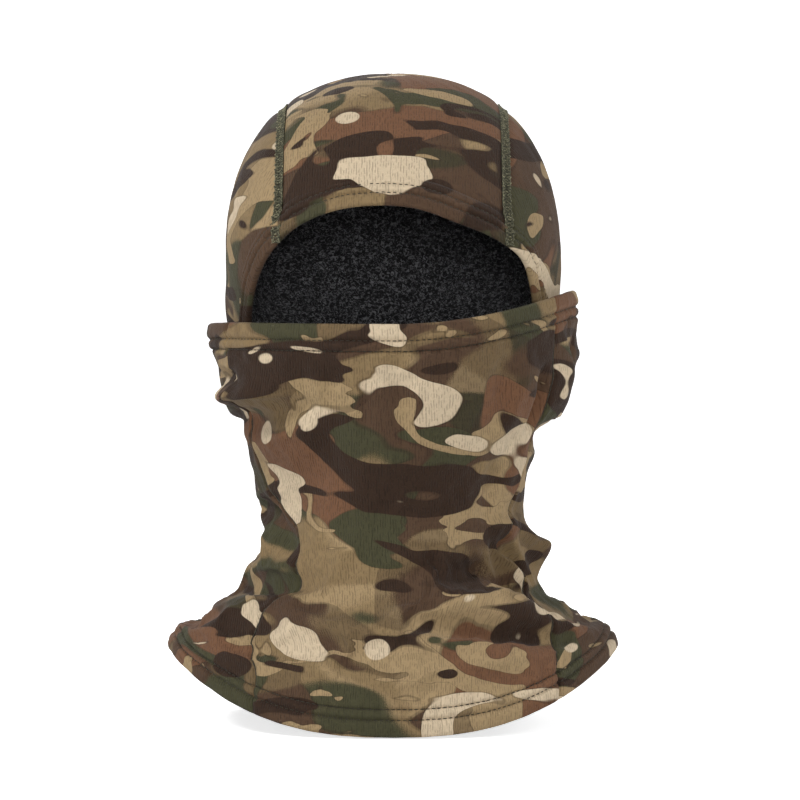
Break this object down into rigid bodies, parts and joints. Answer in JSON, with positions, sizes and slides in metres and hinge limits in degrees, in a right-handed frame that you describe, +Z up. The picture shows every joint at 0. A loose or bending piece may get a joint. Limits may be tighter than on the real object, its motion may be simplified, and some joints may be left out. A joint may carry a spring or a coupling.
{
  "type": "fleece-lined camouflage face mask",
  "caption": "Balaclava-style winter face mask: camouflage hood with crown seams and fleece lining, a pull-down mask band over the nose, and a flared collar for the neck.",
  "frame": {"origin": "on the neck's vertical axis, level with the lowest point of the collar's hem", "axes": "+Z up, -Y the way the wearer faces, +X towards the wearer's left ear"},
  "size_m": [0.2474, 0.2215, 0.353],
  "materials": {
    "camouflage_knit": "matt dimpled polyester knit printed with a woodland camouflage of khaki, brown, olive and dark brown",
    "fleece": "black curly pile fleece",
    "flatlock_thread": "olive-green flatlock stitching",
    "thread": "dark olive sewing thread"
  },
  "bodies": {
    "collar": {"bib_panel": "camouflage_knit", "bib_lining": "fleece", "left_shoulder_panel": "camouflage_knit", "left_shoulder_lining": "fleece", "right_shoulder_panel": "camouflage_knit", "right_shoulder_lining": "fleece", "collar_hem": "camouflage_knit", "collar_hem_stitching": "thread", "left_collar_seam": "thread", "right_collar_seam": "thread", "nape_collar_seam": "thread", "neck_seam": "camouflage_knit"},
    "mask": {"mask_band": "camouflage_knit", "mask_band_stitching": "thread", "mask_panel": "camouflage_knit", "mask_lining": "fleece", "left_cheek_panel": "camouflage_knit", "left_cheek_lining": "fleece", "right_cheek_panel": "camouflage_knit", "right_cheek_lining": "fleece", "left_mask_seam": "thread", "right_mask_seam": "thread", "nape_mask_seam": "thread"},
    "hood": {"crown_panel": "camouflage_knit", "crown_lining": "fleece", "brow_hem": "camouflage_knit", "brow_hem_stitching": "thread", "left_side_panel": "camouflage_knit", "left_side_lining": "fleece", "left_cheek_hem": "camouflage_knit", "left_crown_seam": "flatlock_thread", "right_side_panel": "camouflage_knit", "right_side_lining": "fleece", "right_cheek_hem": "camouflage_knit", "right_crown_seam": "flatlock_thread", "hood_neck_panel": "camouflage_knit", "hood_neck_lining": "fleece", "throat_hem": "camouflage_knit"}
  },
  "joints": [
    {"name": "mask_pull_down", "type": "hinge", "parent": "collar", "child": "mask", "pos_m": [0, 0.108, 0.206], "axis": [1, 0, 0], "range_deg": [0, 17], "stiffness_Nm_per_rad": 1, "deforming": ["mask_panel", "mask_lining", "left_cheek_panel", "left_cheek_lining", "right_cheek_panel", "right_cheek_lining", "left_mask_seam", "right_mask_seam", "nape_mask_seam"]},
    {"name": "hood_push_back", "type": "hinge", "parent": "collar", "child": "hood", "pos_m": [0, 0, 0.251], "axis": [-1, 0, 0], "range_deg": [0, 40], "stiffness_Nm_per_rad": 1, "deforming": ["hood_neck_panel", "hood_neck_lining", "throat_hem"]}
  ]
}
